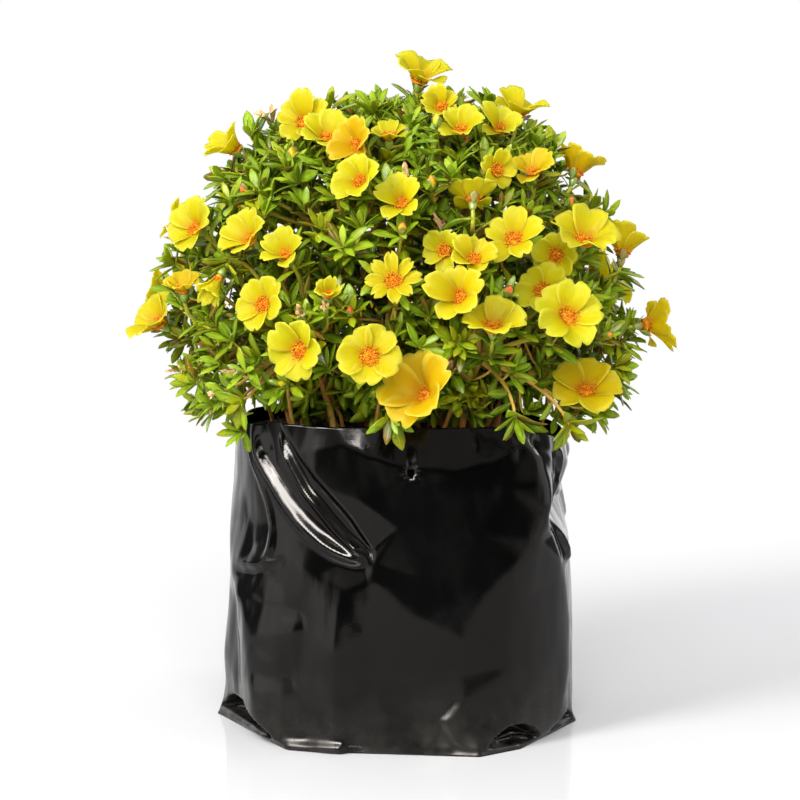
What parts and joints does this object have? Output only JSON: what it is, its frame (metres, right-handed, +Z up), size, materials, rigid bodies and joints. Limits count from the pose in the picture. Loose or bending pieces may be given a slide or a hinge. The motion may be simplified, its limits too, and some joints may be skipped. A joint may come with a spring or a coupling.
{
  "type": "potted portulaca",
  "caption": "Bushy flowering portulaca with yellow cup-shaped blooms and small fleshy leaves, growing in a creased black plastic grow bag that stands on its flat folded bottom.",
  "frame": {"origin": "middle of the bag's flat bottom, on the surface it stands on", "axes": "+Z up, +X to the plant's right as seen from the front, -Y towards the front"},
  "size_m": [0.3102, 0.2775, 0.383],
  "materials": {
    "bag_film": "glossy, softly creased film",
    "potting_mix": "loose dark crumbs of bark and peat",
    "shoot": "fleshy leaves and stems with a soft waxy sheen",
    "petal": "thin silky petals, slightly see-through"
  },
  "bodies": {
    "root": {"grow_bag": "bag_film", "potting_mix": "potting_mix", "shoot_front_left": "shoot", "shoot_front": "shoot", "shoot_front_right": "shoot", "shoot_right": "shoot", "shoot_back_right": "shoot", "shoot_back": "shoot", "shoot_back_left": "shoot", "shoot_left": "shoot", "shoot_top_left": "shoot", "shoot_top_right": "shoot", "shoot_top_back": "shoot", "flower_01": "petal", "flower_02": "petal", "flower_03": "petal", "flower_04": "petal", "flower_05": "petal", "flower_06": "petal", "flower_07": "petal", "flower_08": "petal", "flower_09": "petal", "flower_10": "petal", "flower_11": "petal", "flower_12": "petal", "flower_13": "petal", "flower_14": "petal", "flower_15": "petal", "flower_16": "petal", "flower_17": "petal", "flower_18": "petal", "flower_19": "petal", "flower_20": "petal", "flower_21": "petal", "flower_22": "petal", "flower_23": "petal", "flower_24": "petal", "flower_25": "petal", "flower_26": "petal", "flower_27": "petal", "flower_28": "petal", "flower_29": "petal", "flower_30": "petal", "flower_31": "petal", "flower_32": "petal", "flower_33": "petal", "flower_34": "petal", "flower_35": "petal", "flower_36": "petal", "flower_37": "petal", "flower_38": "petal", "flower_39": "petal", "flower_40": "petal", "flower_41": "petal", "flower_42": "petal", "flower_43": "petal", "flower_44": "petal", "flower_45": "petal", "flower_46": "petal", "flower_47": "petal"}
  },
  "joints": []
}
